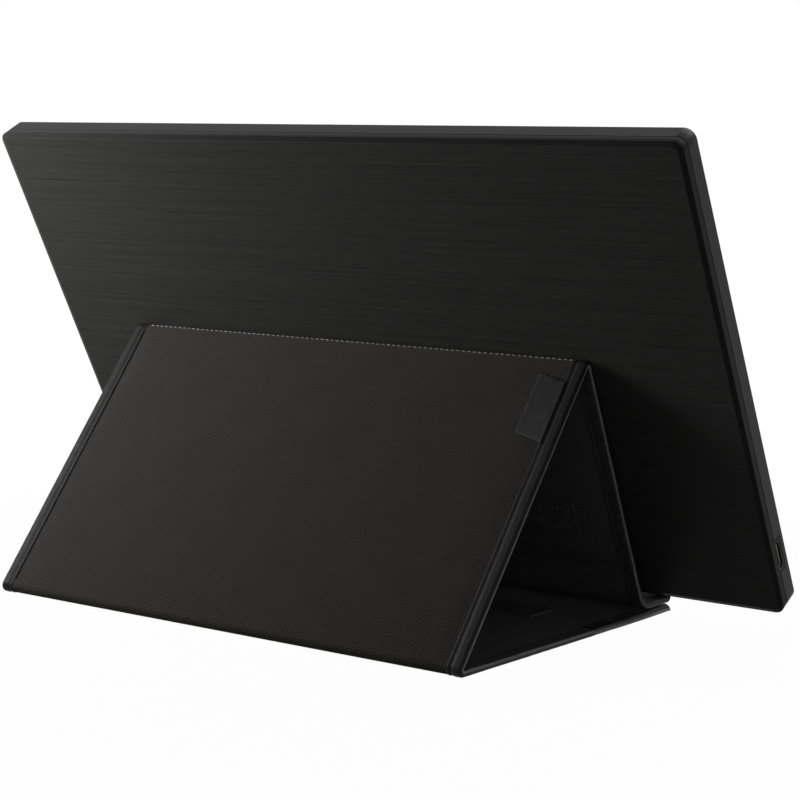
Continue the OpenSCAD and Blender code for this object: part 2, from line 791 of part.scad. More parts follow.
// Cover: back panel
module back_board() {
    color([0.3, 0.3, 0.3]) at_back() clear_of_fold()
        layer(0, back_end, z_board, z_lining, tape_edge);
}
module back_skin() {
    color([0.2, 0.19, 0.18]) at_back() clear_of_fold()
        layer(0, back_end, z_skin, z_board, tape_edge);
}
module back_lining() {
    color([0.1, 0.1, 0.1]) at_back() clear_of_fold()
        layer(0, back_end, z_lining, -tape_t, tape_edge);
}
module back_binding_left() {
    color([0.08, 0.08, 0.085]) at_back() clear_of_fold() binding(left, 0, back_end);
}
module back_binding_right() {
    color([0.08, 0.08, 0.085]) at_back() clear_of_fold() binding(right, 0, back_end);
}
module apex_fold() {
    color([0.2, 0.19, 0.18]) at_back() translate([0, back_len, 0]) mirror([0, 1, 0])
        fold_strip(apex_angle);
}
module side_tag() {
    near = -(cover_w / 2 - tape_w);
    y1 = back_len - tag_y;
    y0 = y1 - tag_l;
    half = tag_skew / 2;
    color([0.1, 0.1, 0.105]) at_back()
        translate([0, 0, z_skin - tag_t]) linear_extrude(height = tag_t)
            polygon([[near, y0 - half], [near + tag_w, y0 + half], [near + tag_w, y1 + half],
                [near, y1 - half]]);
}

// Cover: front panel
module front_board() {
    color([0.3, 0.3, 0.3]) at_front() clear_of_fold()
        layer(0, front_len, z_board, z_lining, tape_edge);
}
module front_skin() {
    color([0.17, 0.165, 0.155]) at_front() clear_of_fold()
        layer(0, front_len, z_skin, z_board, tape_edge);
}
module front_lining() {
    color([0.1, 0.1, 0.1]) at_front() clear_of_fold()
        layer(0, front_len, z_lining, -tape_t, tape_edge);
}
module front_binding_left() {
    color([0.08, 0.08, 0.085]) at_front() clear_of_fold() binding(left, 0, front_len);
}
module front_binding_right() {
    color([0.08, 0.08, 0.085]) at_front() clear_of_fold() binding(right, 0, front_len);
}
module loop_patch() {
    color([0.13, 0.13, 0.13]) at_front()
        translate([-cover_w / 2 + loop_end, loop_y, -tape_t]) cube([strip_l, loop_w, strip_t]);
}
module hem_band() {
    hem_x = cover_w / 2 - tape_w;
    color([0.08, 0.08, 0.08]) at_front()
        translate([-hem_x, front_len - hem_w - 2, -tape_t]) cube([2 * hem_x, hem_w, hem_t]);
}

front_bezel();
bezel_tape();
lcd_cell();
prism_films();
diffuser_sheet();
light_guide();
reflector_sheet();
led_strip();
panel_frame();
panel_tray();
panel_screws();
driver_board();
driver_flex();
panel_cable();
main_board();
controller_chip();
thermal_pad();
shield_can();
usb_socket();
usb_tongue();
board_screws();
button_board();
menu_switch();
menu_key();
light_pipe();
foam_spacers();
rear_cover();
base_board();
base_skin();
base_lining();
base_binding_left();
base_binding_right();
toe_cloth();
toe_binding_left();
toe_binding_right();
foot_cloth();
foot_binding_left();
foot_binding_right();
lip_stay();
ledge_pad();
hook_strip();
rear_fold();
back_board();
back_skin();
back_lining();
back_binding_left();
back_binding_right();
apex_fold();
side_tag();
front_board();
front_skin();
front_lining();
front_binding_left();
front_binding_right();
loop_patch();
hem_band();
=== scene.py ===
import math
import random

import bpy
from mathutils import Matrix, Vector, noise


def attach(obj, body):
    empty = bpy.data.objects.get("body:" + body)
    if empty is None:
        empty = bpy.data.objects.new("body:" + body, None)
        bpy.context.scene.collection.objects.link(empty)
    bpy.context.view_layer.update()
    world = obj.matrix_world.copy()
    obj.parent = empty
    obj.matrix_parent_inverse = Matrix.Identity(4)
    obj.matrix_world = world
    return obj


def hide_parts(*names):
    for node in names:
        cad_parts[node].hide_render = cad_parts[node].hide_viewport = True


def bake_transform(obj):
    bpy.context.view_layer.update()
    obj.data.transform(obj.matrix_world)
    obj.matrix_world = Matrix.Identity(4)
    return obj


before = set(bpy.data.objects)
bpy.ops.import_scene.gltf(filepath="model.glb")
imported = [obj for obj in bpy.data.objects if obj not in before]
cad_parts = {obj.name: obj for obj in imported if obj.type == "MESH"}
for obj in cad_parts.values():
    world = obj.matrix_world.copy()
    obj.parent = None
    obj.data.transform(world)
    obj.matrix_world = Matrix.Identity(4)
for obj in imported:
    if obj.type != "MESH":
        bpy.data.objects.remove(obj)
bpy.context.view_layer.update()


# Front frame and menu key. Moulded in black plastic with a fine spark-eroded grain; the frame
# carries the screen behind its face, and the key stands in a slot at its lower corner.
def new_finish(name, colour, roughness, **sockets):
    """A node material, with its even values set on the shader's own sockets."""
    finish = bpy.data.materials.new(name)
    finish.use_nodes = True
    shader = finish.node_tree.nodes["Principled BSDF"]
    shader.inputs["Base Color"].default_value = (*colour, 1)
    shader.inputs["Roughness"].default_value = roughness
    for socket, value in sockets.items():
        shader.inputs[socket.replace("_", " ")].default_value = value
    return finish


def add(finish, kind, **values):
    """Adds a node. A value that is a socket is linked; a lower-case name sets a property."""
    node = finish.node_tree.nodes.new("ShaderNode" + kind)
    for name, value in values.items():
        if hasattr(node, name):
            setattr(node, name, value)
            continue
        socket = node.inputs[int(name[2:]) if name.startswith("In") else name.replace("_", " ")]
        if isinstance(value, bpy.types.NodeSocket):
            finish.node_tree.links.new(value, socket)
        else:
            socket.default_value = value
    return node


def ramp(finish, factor, *stops):
    """Turns a factor into colours or greys, from (position, colour) stops."""
    node = add(finish, "ValToRGB", Fac=factor)
    marks = node.color_ramp.elements
    while len(marks) < len(stops):
        marks.new(0.5)
    for mark, (position, colour) in zip(marks, stops):
        mark.position = position
        mark.color = (*colour, 1) if hasattr(colour, "__len__") else (colour, colour, colour, 1)
    return node.outputs["Color"]


def sum_of(finish, first, second, share):
    """The first height plus a share of the second."""
    total = add(finish, "Math", operation="MULTIPLY_ADD", In0=second, In1=share, In2=first)
    return total.outputs[0]


def relief(finish, height, depth, strength=1.0):
    """Raises the surface by a height of 0 to 1, at a depth in metres."""
    bump = add(finish, "Bump", Height=height, Distance=depth, Strength=strength)
    shader = finish.node_tree.nodes["Principled BSDF"]
    finish.node_tree.links.new(bump.outputs["Normal"], shader.inputs["Normal"])


def feed(finish, output, socket):
    finish.node_tree.links.new(output, finish.node_tree.nodes["Principled BSDF"].inputs[socket])


def place_of(finish):
    return add(finish, "TexCoord").outputs["Object"]


def dress(finish, *names):
    """Gives CAD nodes a finish."""
    for name in names:
        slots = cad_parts[name].data.materials
        slots.clear()
        slots.append(finish)


def soften(name, width):
    """Rounds a CAD node's sharp edges without touching its mesh."""
    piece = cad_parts[name]
    weld = piece.modifiers.new("Weld", "WELD")
    weld.merge_threshold = 0.00001
    flat = piece.modifiers.new("Flat", "DECIMATE")
    flat.decimate_type = "DISSOLVE"
    flat.angle_limit = math.radians(0.4)
    edge = piece.modifiers.new("Edge", "BEVEL")
    edge.width = width
    edge.segments = 3
    edge.limit_method = "ANGLE"
    edge.angle_limit = math.radians(25)


frame_plastic = new_finish("Frame_plastic", (0.011, 0.011, 0.0115), 0.45, Specular_IOR_Level=0.08)
where = place_of(frame_plastic)
grain = add(frame_plastic, "TexNoise", Vector=where, Scale=2600, Detail=2).outputs["Fac"]
patches = add(frame_plastic, "TexNoise", Vector=where, Scale=30, Detail=3).outputs["Fac"]
feed(frame_plastic, ramp(frame_plastic, patches, (0.3, (0.0095, 0.0095, 0.0099)),
    (0.75, (0.013, 0.013, 0.0134))), "Base Color")
feed(frame_plastic, ramp(frame_plastic, grain, (0.35, 0.36), (0.65, 0.48)), "Roughness")
relief(frame_plastic, grain, 0.00004, 0.5)
dress(frame_plastic, "front_bezel", "menu_key")
soften("front_bezel", 0.0004)
soften("menu_key", 0.0002)


# Screen. A glass cell with an anti-glare film: its picture area is a little lighter than the
# black border round it, and it is bonded behind the frame's window with foam tape.
screen_film = new_finish("Screen_film", (0.008, 0.009, 0.011), 0.2, Specular_IOR_Level=0.35)
where = place_of(screen_film)
side_x = add(screen_film, "SeparateXYZ", Vector=where)
half_width = add(screen_film, "Math", operation="ABSOLUTE", In0=side_x.outputs["X"]).outputs[0]
beyond = add(screen_film, "Math", operation="GREATER_THAN", In0=half_width, In1=0.1721).outputs[0]
sparkle = add(screen_film, "TexNoise", Vector=where, Scale=4000, Detail=1).outputs["Fac"]
feed(screen_film, ramp(screen_film, beyond, (0.0, (0.012, 0.013, 0.0155)),
    (1.0, (0.004, 0.004, 0.0045))), "Base Color")
feed(screen_film, ramp(screen_film, sparkle, (0.3, 0.17), (0.7, 0.26)), "Roughness")
relief(screen_film, sparkle, 0.00001, 0.4)
dress(screen_film, "lcd_cell")

foam = new_finish("Black_foam", (0.02, 0.02, 0.02), 0.95)
cells = add(foam, "TexVoronoi", Vector=place_of(foam), Scale=2200).outputs["Distance"]
feed(foam, ramp(foam, cells, (0.1, 0.008), (0.6, 0.03)), "Base Color")
relief(foam, cells, 0.0002, 0.8)
dress(foam, "bezel_tape", "foam_spacers")


# Backlight. Clear and white plastic sheets and a light guide with printed dots, held in a white
# frame and a folded aluminium tray; a strip of diodes lies along the lower edge.
def plain_finish(name, low, high, roughness, scale, depth=0.00003, **sockets):
    """A finish whose colour wanders between two values, with a fine grain."""
    finish = new_finish(name, high, roughness, **sockets)
    spots = add(finish, "TexNoise", Vector=place_of(finish), Scale=scale, Detail=4).outputs["Fac"]
    feed(finish, ramp(finish, spots, (0.3, low), (0.7, high)), "Base Color")
    relief(finish, spots, depth, 0.5)
    return finish


prism_film = plain_finish("Prism_film", (0.7, 0.72, 0.75), (0.8, 0.82, 0.85), 0.15, 600)
white_film = plain_finish("White_film", (0.8, 0.8, 0.79), (0.87, 0.87, 0.86), 0.5, 400)
guide_plate = plain_finish("Guide_plate", (0.62, 0.7, 0.72), (0.72, 0.8, 0.82), 0.08, 900)
phosphor = plain_finish("Phosphor_strip", (0.75, 0.66, 0.3), (0.85, 0.8, 0.55), 0.45, 300)
tray_metal = plain_finish("Tray_aluminium", (0.5, 0.51, 0.52), (0.62, 0.63, 0.64), 0.34, 250,
    Metallic=1.0)
dress(prism_film, "prism_films")
dress(white_film, "diffuser_sheet", "reflector_sheet", "panel_frame")
dress(guide_plate, "light_guide", "light_pipe")
dress(phosphor, "led_strip")
dress(tray_metal, "panel_tray")


# Boards. Glass-fibre boards under a green solder mask, a black resin chip under its pad and
# shield can, an amber film to the glass, a ribbon between the boards, and plated screws.
solder_mask = plain_finish("Solder_mask", (0.012, 0.09, 0.045), (0.02, 0.15, 0.075), 0.3, 700)
resin = plain_finish("Chip_resin", (0.012, 0.012, 0.013), (0.022, 0.022, 0.023), 0.55, 1800)
heat_pad = plain_finish("Heat_pad", (0.4, 0.43, 0.47), (0.48, 0.52, 0.56), 0.7, 900)
amber_film = plain_finish("Amber_film", (0.3, 0.13, 0.02), (0.42, 0.2, 0.04), 0.25, 300)
ribbon = plain_finish("Ribbon_sleeve", (0.014, 0.014, 0.014), (0.028, 0.028, 0.028), 0.5, 1200)
plated_steel = plain_finish("Plated_steel", (0.42, 0.42, 0.42), (0.56, 0.56, 0.55), 0.28, 900,
    Metallic=1.0)
dress(solder_mask, "driver_board", "main_board", "button_board")
dress(resin, "controller_chip", "menu_switch")
dress(heat_pad, "thermal_pad")
dress(amber_film, "driver_flex")
dress(ribbon, "panel_cable")
dress(plated_steel, "panel_screws", "board_screws", "shield_can")


# Port. A drawn steel shell that stands in a recess of the side wall, round a moulded tongue
# with worn, brownish contacts; the shell is soldered to the main board.
port_steel = plain_finish("Port_steel", (0.32, 0.32, 0.325), (0.48, 0.48, 0.48), 0.3, 1500,
    Metallic=1.0)
port_tongue = plain_finish("Port_tongue", (0.16, 0.105, 0.065), (0.42, 0.3, 0.19), 0.4, 900)
dress(port_steel, "usb_socket")
dress(port_tongue, "usb_tongue")
soften("usb_socket", 0.00008)


# Port collar. A moulded ring, pressed into the recess round the port: it is flush with the side
# wall, and its rounded opening has a small chamfer round the metal shell, with a painted highlight
# on the chamfer and painted shade deeper in the opening.
lean = math.radians(60.8)
plate_depth = 0.0128
front_plane = -0.0794748
rearwards = (0, math.sin(lean), -math.cos(lean))
wall_x, port_rise, port_depth = -0.191, 0.004353, 0.0064


def start_clean():
    if bpy.context.mode != "OBJECT":
        bpy.ops.object.mode_set(mode="OBJECT")
    bpy.ops.object.select_all(action="DESELECT")


def stadium(half_length, half_depth, radius):
    """Points of a rounded opening, as (along, depth) from the port's middle."""
    points = []
    steps = 12
    for quarter, (along, deep) in enumerate(((1, 1), (-1, 1), (-1, -1), (1, -1))):
        for i in range(steps + 1):
            turn = math.radians(90 * quarter + 90 * i / steps)
            points.append((along * (half_length - radius) + radius * math.cos(turn),
                deep * (half_depth - radius) + radius * math.sin(turn)))
    return points


collar_rings = [
    (0.00096, stadium(0.00718, 0.00233, 0.0002)),
    (0.00004, stadium(0.00718, 0.00233, 0.0002)),
    (0.0, stadium(0.00714, 0.00229, 0.0002)),
    (0.0, stadium(0.0069, 0.0021, 0.0019)),
    (0.0003, stadium(0.00665, 0.00185, 0.00175)),
    (0.00096, stadium(0.0066, 0.0018, 0.0017)),
]
start_clean()
around = len(collar_rings[0][1])
bpy.ops.mesh.primitive_grid_add(x_subdivisions=around, y_subdivisions=len(collar_rings), size=1)
collar = bpy.context.object
collar.name = collar.data.name = "port_collar"
for vertex in collar.data.vertices:
    sunk, ring = collar_rings[round((vertex.co.y + 0.5) * len(collar_rings)) % len(collar_rings)]
    along, deep = ring[round((vertex.co.x + 0.5) * around) % around]
    up, depth = port_rise + along, front_plane + port_depth + deep
    vertex.co = (wall_x + sunk, up * math.cos(lean) + depth * math.sin(lean),
        up * math.sin(lean) - depth * math.cos(lean))
bpy.ops.object.mode_set(mode="EDIT")
bpy.ops.mesh.select_all(action="SELECT")
bpy.ops.mesh.remove_doubles(threshold=0.000001)
bpy.ops.mesh.normals_make_consistent(inside=False)
bpy.ops.object.mode_set(mode="OBJECT")
bpy.ops.object.shade_smooth_by_angle(angle=math.radians(30))
collar_plastic = new_finish("Collar_plastic", (0.0205, 0.0205, 0.0203), 0.4,
    Specular_IOR_Level=0.05)
where = place_of(collar_plastic)
grain = add(collar_plastic, "TexNoise", Vector=where, Scale=2400, Detail=2).outputs["Fac"]
inside = add(collar_plastic, "SeparateXYZ", Vector=where).outputs["X"]
inside = add(collar_plastic, "MapRange", Value=inside, From_Min=wall_x + 0.00002,
    From_Max=wall_x + 0.0003).outputs["Result"]
# painted highlight: the chamfer just inside the wall is painted light grey; painted shade: the
# opening deeper in is painted near black
feed(collar_plastic, ramp(collar_plastic, inside, (0.0, (0.0205, 0.0205, 0.0203)),
    (0.1, (0.13, 0.127, 0.12)), (0.9, (0.09, 0.087, 0.08)), (1.0, (0.006, 0.006, 0.006))),
    "Base Color")
feed(collar_plastic, ramp(collar_plastic, grain, (0.35, 0.34), (0.65, 0.46)), "Roughness")
relief(collar_plastic, grain, 0.00003, 0.4)
collar.data.materials.append(collar_plastic)
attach(collar, "monitor")


# Rear cover. A dark anodised shell: its flat plate is brushed from side to side, and a bevel
# and a smoother bright rim run round it, over the groove where it is clipped to the frame.
anodised = new_finish("Brushed_anodised", (0.04, 0.04, 0.039), 0.4, Specular_IOR_Level=0.02)
where = place_of(anodised)
square_on = add(anodised, "Mapping", Vector=where, Rotation=(-lean, 0, 0)).outputs["Vector"]
long_marks = add(anodised, "Mapping", Vector=square_on, Scale=(9, 3600, 1)).outputs["Vector"]
short_marks = add(anodised, "Mapping", Vector=square_on, Scale=(40, 2300, 1)).outputs["Vector"]
broad_marks = add(anodised, "Mapping", Vector=square_on, Scale=(5, 700, 1)).outputs["Vector"]
long_noise = add(anodised, "TexNoise", Vector=long_marks, Scale=1, Detail=4).outputs["Fac"]
short_noise = add(anodised, "TexNoise", Vector=short_marks, Scale=1, Detail=3).outputs["Fac"]
broad_noise = add(anodised, "TexNoise", Vector=broad_marks, Scale=1, Detail=2).outputs["Fac"]
marks = sum_of(anodised, long_noise, short_noise, 0.8)
marks = sum_of(anodised, marks, broad_noise, 0.7)
marks = add(anodised, "MapRange", Value=marks, From_Min=0.85, From_Max=1.65).outputs["Result"]
depth = add(anodised, "VectorMath", operation="DOT_PRODUCT", In0=where, In1=rearwards)
on_plate = add(anodised, "MapRange", Value=depth.outputs["Value"],
    From_Min=front_plane + plate_depth - 0.00012, From_Max=front_plane + plate_depth - 0.00004)
on_plate = on_plate.outputs["Result"]
brushing = add(anodised, "Math", operation="MULTIPLY", In0=marks, In1=on_plate).outputs[0]
feed(anodised, ramp(anodised, brushing, (0.0, (0.0205, 0.0205, 0.0203)),
    (0.12, (0.0298, 0.0296, 0.029)), (0.85, (0.0485, 0.0482, 0.0472))), "Base Color")
feed(anodised, ramp(anodised, brushing, (0.0, 0.34), (0.3, 0.46), (0.9, 0.36)), "Roughness")
relief(anodised, brushing, 0.00006, 0.35)
dress(anodised, "rear_cover")
soften("rear_cover", 0.00035)


# Stiff boards of the cover. Grey board, cut to the panels and wrapped; only their edges would
# show if a binding were opened.
grey_board = plain_finish("Grey_board", (0.16, 0.145, 0.125), (0.27, 0.25, 0.22), 0.9, 500, 0.0001)
dress(grey_board, "base_board", "back_board", "front_board")
stay_plastic = plain_finish("Stay_plastic", (0.4, 0.4, 0.4), (0.5, 0.5, 0.5), 0.3, 200)
dress(stay_plastic, "lip_stay")


# Outer cloth of the cover. One length of warm grey-black twill is wrapped round the three
# boards and left loose at the two folds; it is glued to the boards and sewn under the bindings.
cover_middle = 0.0086
half_cover = 0.1322
rear_axis = Vector((0.0865, 0.0032))
apex_axis = Vector((-0.004635, 0.1212))
back_turn = 127.68
front_turn = 243.8
outer_face = -0.003
fold_length = 0.0025
back_length = 0.149096
back_end = back_length - fold_length
front_length = 0.10777
base_length = 0.1042
cloth_half = 0.1304
tape_width = 0.0072
tape_inside = half_cover - tape_width
seam_in = 0.0051


def towards(degrees):
    return Vector((math.cos(math.radians(degrees)), math.sin(math.radians(degrees))))


def panel_rows(panel, start, end, step):
    """Stations along a panel: the point on its hinge plane, the inward normal, the distance."""
    rows = []
    count = max(2, round((end - start) / step))
    for i in range(count + 1):
        along = start + (end - start) * i / count
        if panel == "base":
            rows.append((rear_axis + Vector((-along, 0)), Vector((0, 1)), -along))
        elif panel == "back_panel":
            rows.append((rear_axis + towards(back_turn) * along, towards(back_turn + 90), along))
        else:
            rows.append((apex_axis + towards(front_turn) * along, towards(front_turn + 90),
                back_length + along))
    return rows


def fold_rows(axis, start, end, distance, count=24):
    """Stations round a fold, between two outward directions in degrees."""
    return [(axis, -towards(start + (end - start) * i / count), distance * i / count)
        for i in range(count + 1)]


def make_strip(name, rows, profile, thickness, finish, outwards=-1, warp=None, by_length=False):
    """Shapes a grid into cloth: columns follow the profile of (across, inwards) points."""
    start_clean()
    columns = len(profile) - 1
    bpy.ops.mesh.primitive_grid_add(x_subdivisions=columns, y_subdivisions=len(rows) - 1, size=1,
        calc_uvs=True)
    strip = bpy.context.object
    strip.name = strip.data.name = name
    run = [0.0]
    for one, two in zip(profile, profile[1:]):
        run.append(run[-1] + math.dist(one, two))
    places = {}
    for vertex in strip.data.vertices:
        column = round((vertex.co.x + 0.5) * columns)
        row = round((vertex.co.y + 0.5) * (len(rows) - 1))
        across, inwards = profile[column]
        origin, inward, distance = rows[row]
        if warp:
            across, inwards = warp(across, inwards, distance)
        point = origin + inward * inwards
        vertex.co = (cover_middle + across, point.x, point.y)
        places[vertex.index] = (column, row)
    layer = strip.data.uv_layers.active.data
    for loop in strip.data.loops:
        column, row = places[loop.vertex_index]
        layer[loop.index].uv = (run[column] if by_length else profile[column][0], rows[row][2])
    at = {place: strip.data.vertices[index].co for index, place in places.items()}
    middle = len(rows) // 2
    corner = at[(0, middle)]
    facing = (at[(1, middle)] - corner).cross(at[(0, middle + 1)] - corner)
    inward = rows[middle][1]
    bpy.ops.object.mode_set(mode="EDIT")
    bpy.ops.mesh.select_all(action="SELECT")
    if facing.dot(Vector((0, inward.x, inward.y))) * outwards < 0:
        bpy.ops.mesh.flip_normals()
    bpy.ops.object.mode_set(mode="OBJECT")
    solid = strip.modifiers.new("Thickness", "SOLIDIFY")
    solid.thickness = thickness
    solid.offset = -1
    bpy.ops.object.modifier_apply(modifier=solid.name)
    bpy.ops.object.shade_smooth_by_angle(angle=math.radians(60))
    strip.data.materials.append(finish)
    return strip


def spread(low, high, count):
    return [low + (high - low) * i / count for i in range(count + 1)]


def ease(low, high, value):
    t = min(max((value - low) / (high - low), 0), 1)
    return t * t * (3 - 2 * t)


# the period of the wave texture at scale 1, in metres
wave_period = 0.3142


def twill(name, dark, light, rib, roughness, sheen):
    """Woven ribs crossed by finer ones, read from the cloth's own map in metres."""
    finish = new_finish(name, dark, roughness, Sheen_Weight=sheen, Sheen_Roughness=0.45,
        Specular_IOR_Level=0.03)
    flat = add(finish, "TexCoord").outputs["UV"]
    turned = add(finish, "Mapping", Vector=flat, Rotation=(0, 0, math.radians(56)))
    ribs = add(finish, "TexWave", Vector=turned.outputs["Vector"], Scale=wave_period / rib,
        Distortion=1.6, Detail=3, Detail_Scale=1.5).outputs["Fac"]
    crossed = add(finish, "Mapping", Vector=flat, Rotation=(0, 0, math.radians(-52)))
    yarns = add(finish, "TexWave", Vector=crossed.outputs["Vector"],
        Scale=wave_period / (rib * 1.08), Distortion=1.2, Detail=1).outputs["Fac"]
    fuzz = add(finish, "TexNoise", Vector=flat, Scale=1500, Detail=2).outputs["Fac"]
    patches = add(finish, "TexNoise", Vector=flat, Scale=45, Detail=5).outputs["Fac"]
    weave = sum_of(finish, sum_of(finish, ribs, yarns, 0.6), fuzz, 1.0)
    shade = sum_of(finish, weave, patches, 0.3)
    shade = add(finish, "MapRange", Value=shade, From_Min=0.86, From_Max=2.04).outputs["Result"]
    feed(finish, ramp(finish, shade, (0.08, dark), (0.92, light)), "Base Color")
    relief(finish, weave, 0.0003, 0.5)
    return finish


outer_twill = twill("Outer_twill", (0.0101, 0.0096, 0.009), (0.0492, 0.047, 0.0445),
    0.001045, 0.8, 0.05)
# painted light: the lining and foot cloths are black like the outer cloth, but painted several
# times lighter to stand in for the light they lack in the shade inside the stand and under the
# monitor
lining_twill = twill("Lining_twill", (0.054, 0.054, 0.0548), (0.135, 0.135, 0.137),
    0.0008, 0.75, 0.03)
foot_twill = twill("Foot_twill", (0.052, 0.052, 0.0528), (0.14, 0.14, 0.142),
    0.0009, 0.75, 0.03)


def soft_face(level, length, seed, swell=0.0003):
    """Lets a wrapped face swell a little between its bindings and its folds."""
    def warp(across, inwards, distance):
        run = abs(distance) % back_length
        under_tape = ease(tape_inside - 0.009, tape_inside + 0.0008, abs(across)) ** 1.5
        at_ends = ease(0.002, 0.02, run) * ease(0.002, 0.02, length - run)
        loose = noise.noise(Vector((across * 24, distance * 24, seed)))
        loose += 0.5 * noise.noise(Vector((across * 70, distance * 70, seed + 5)))
        inwards += math.copysign(swell, level) * (0.7 + loose) * at_ends * (1 - under_tape)
        return across, inwards - math.copysign(0.0003, level) * under_tape
    return warp


across_cloth = [(x, outer_face) for x in spread(-cloth_half, cloth_half, 96)]
back_cloth = make_strip("back_outer_cloth", panel_rows("back_panel", fold_length, back_end, 0.0028),
    across_cloth, 0.0005, outer_twill, warp=soft_face(outer_face, back_length, 1))
front_cloth = make_strip("front_outer_cloth",
    panel_rows("front_panel", fold_length, 0.1076, 0.0028), across_cloth, 0.0005, outer_twill,
    warp=soft_face(outer_face, front_length, 2))
base_cloth = make_strip("base_outer_cloth", panel_rows("base", fold_length, base_length, 0.0028),
    [(x, -0.00302) for x in spread(-cloth_half, cloth_half, 60)], 0.0005, outer_twill)
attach(back_cloth, "back_panel")
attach(front_cloth, "front_panel")
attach(base_cloth, "base")
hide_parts("back_skin")
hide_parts("front_skin")
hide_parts("base_skin")

rear_tabs = (panel_rows("base", 0, fold_length, 0.0006)[::-1]
    + fold_rows(rear_axis, -90, back_turn - 90, 0.0068, 30)[1:-1]
    + panel_rows("back_panel", 0, fold_length, 0.0006))
apex_tabs = (panel_rows("back_panel", back_end, back_length, 0.0006)
    + fold_rows(apex_axis, back_turn - 90, front_turn - 90, 0.0062, 30)[1:-1]
    + panel_rows("front_panel", 0, fold_length, 0.0006))


def measured(rows, radius, start):
    """Gives a row of stations their distances along the outer face."""
    found, distance, last = [], start, None
    for origin, inward, _ in rows:
        point = origin - inward * radius
        distance += (point - last).length if last else 0
        last = point
        found.append((origin, inward, distance))
    return found


rear_tabs = measured(rear_tabs, -outer_face, -0.0068)
apex_tabs = measured(apex_tabs, -outer_face, back_end)
rear_cloth = make_strip("rear_fold_cloth", rear_tabs, across_cloth, 0.0005, outer_twill)
apex_cloth = make_strip("apex_fold_cloth", apex_tabs, across_cloth, 0.0005, outer_twill)
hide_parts("rear_fold")
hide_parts("apex_fold")


def joint_ends(axis, start, end, radius):
    """Where a fold piece leaves one body and reaches the next."""
    one, two = axis + towards(start) * radius, axis + towards(end) * radius
    return (cover_middle, one.x, one.y), (cover_middle, two.x, two.y)


rear_ends = joint_ends(rear_axis, -90, back_turn - 90, 0.003)
apex_ends = joint_ends(apex_axis, back_turn - 90, front_turn - 90, 0.003)
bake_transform(rear_cloth)
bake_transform(apex_cloth)


# Lining. A finer black twill glued to the boards' inner faces; on the base it runs on over the
# soft toe, where an old crease curves across the corner.
lining_face = -0.0004


def base_lining_shape(across, inwards, distance):
    """Rises from the board to the toe, lifts with the toe, and holds the curved crease."""
    along = -distance
    rear = rear_axis.x - along
    from_tip = rear + 0.0897
    rise = ease(base_length - 0.004, base_length + 0.003, along)
    lift = 0.0005 * max(1 - from_tip / 0.04, 0) ** 2
    crease_at = 0.0245 + (-0.082 - across - cover_middle) * 0.72
    near = math.exp(-((from_tip - crease_at) / 0.0016) ** 2) * ease(0.075, 0.09, -across)
    loose = 0.0002 * noise.noise(Vector((across * 30, along * 30, 9))) * ease(0.004, 0.02, along)
    return across, inwards + rise * 0.0005 + lift + loose + 0.0006 * near * rise


across_lining = [(x, lining_face) for x in spread(-0.13, 0.13, 96)]
back_lining = make_strip("back_inner_cloth", panel_rows("back_panel", 0.0045, 0.145, 0.003),
    across_lining, 0.0004, lining_twill, 1, soft_face(-lining_face, back_length, 6, 0.0001))
front_lining = make_strip("front_inner_cloth", panel_rows("front_panel", 0.0045, 0.1076, 0.003),
    across_lining, 0.0004, lining_twill, 1, soft_face(-lining_face, front_length, 7, 0.0001))
base_lining = make_strip("base_inner_cloth", panel_rows("base", fold_length, 0.1752, 0.0017),
    across_lining, 0.0004, lining_twill, 1, base_lining_shape)
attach(back_lining, "back_panel")
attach(front_lining, "front_panel")
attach(base_lining, "base")
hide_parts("back_lining")
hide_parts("front_lining")
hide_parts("base_lining")


# Toe. Two thicknesses of the same cloth without a board, quilted flat and curled up a little at
# the tip; it is sewn to the base panel's front edge.
def make_slab(name, loop, finish, columns=70, half=cloth_half, seed=0, wander=0.00015):
    """Draws a closed section of (Y, Z) points out across the cover, and lets it wander softly."""
    start_clean()
    count = len(loop)
    bpy.ops.mesh.primitive_grid_add(x_subdivisions=columns, y_subdivisions=count, size=1,
        calc_uvs=True)
    slab = bpy.context.object
    slab.name = slab.data.name = name
    run = [0.0]
    for one, two in zip(loop, loop[1:] + loop[:1]):
        run.append(run[-1] + math.dist(one, two))
    places = {}
    for vertex in slab.data.vertices:
        column = round((vertex.co.x + 0.5) * columns)
        row = round((vertex.co.y + 0.5) * count)
        across = -half + 2 * half * column / columns
        y, z = loop[row % count]
        soft = wander * noise.noise(Vector((across * 28, y * 60, z * 60 + seed)))
        vertex.co = (cover_middle + across, y + soft * 0.5, z + soft)
        places[vertex.index] = (across, run[row])
    layer = slab.data.uv_layers.active.data
    for corner in slab.data.loops:
        layer[corner.index].uv = places[corner.vertex_index]
    bpy.ops.object.mode_set(mode="EDIT")
    bpy.ops.mesh.select_all(action="SELECT")
    bpy.ops.mesh.remove_doubles(threshold=0.000001)
    bpy.ops.mesh.fill_holes(sides=0)
    bpy.ops.mesh.select_all(action="SELECT")
    bpy.ops.mesh.normals_make_consistent(inside=False)
    bpy.ops.object.mode_set(mode="OBJECT")
    bpy.ops.object.shade_smooth_by_angle(angle=math.radians(50))
    slab.data.materials.append(finish)
    return slab


toe_tip = -0.0894
toe_length = 0.0717


def toe_lift(rear):
    return 0.0005 * max(1 - (rear - toe_tip) / 0.04, 0) ** 2


def nose(rear):
    """Rounds the toe's tip off, from 1 at the very end to 0 a little way back."""
    return max(1 - (rear - toe_tip) / 0.0026, 0) ** 2


toe_stops = [toe_tip + toe_length * (i / 34) ** 1.2 for i in range(35)]
under_side = [(y, 0.0004 + toe_lift(y) + 0.0011 * nose(y)) for y in toe_stops]
upper_side = [(y, 0.0031 + toe_lift(y) - 0.0011 * nose(y)) for y in toe_stops]
rounded_tip = [(toe_tip - 0.0003, 0.00175 + 0.0005)]
toe = make_slab("toe_cloth_layers", rounded_tip + under_side + upper_side[::-1], lining_twill)
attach(toe, "base")
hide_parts("toe_cloth")


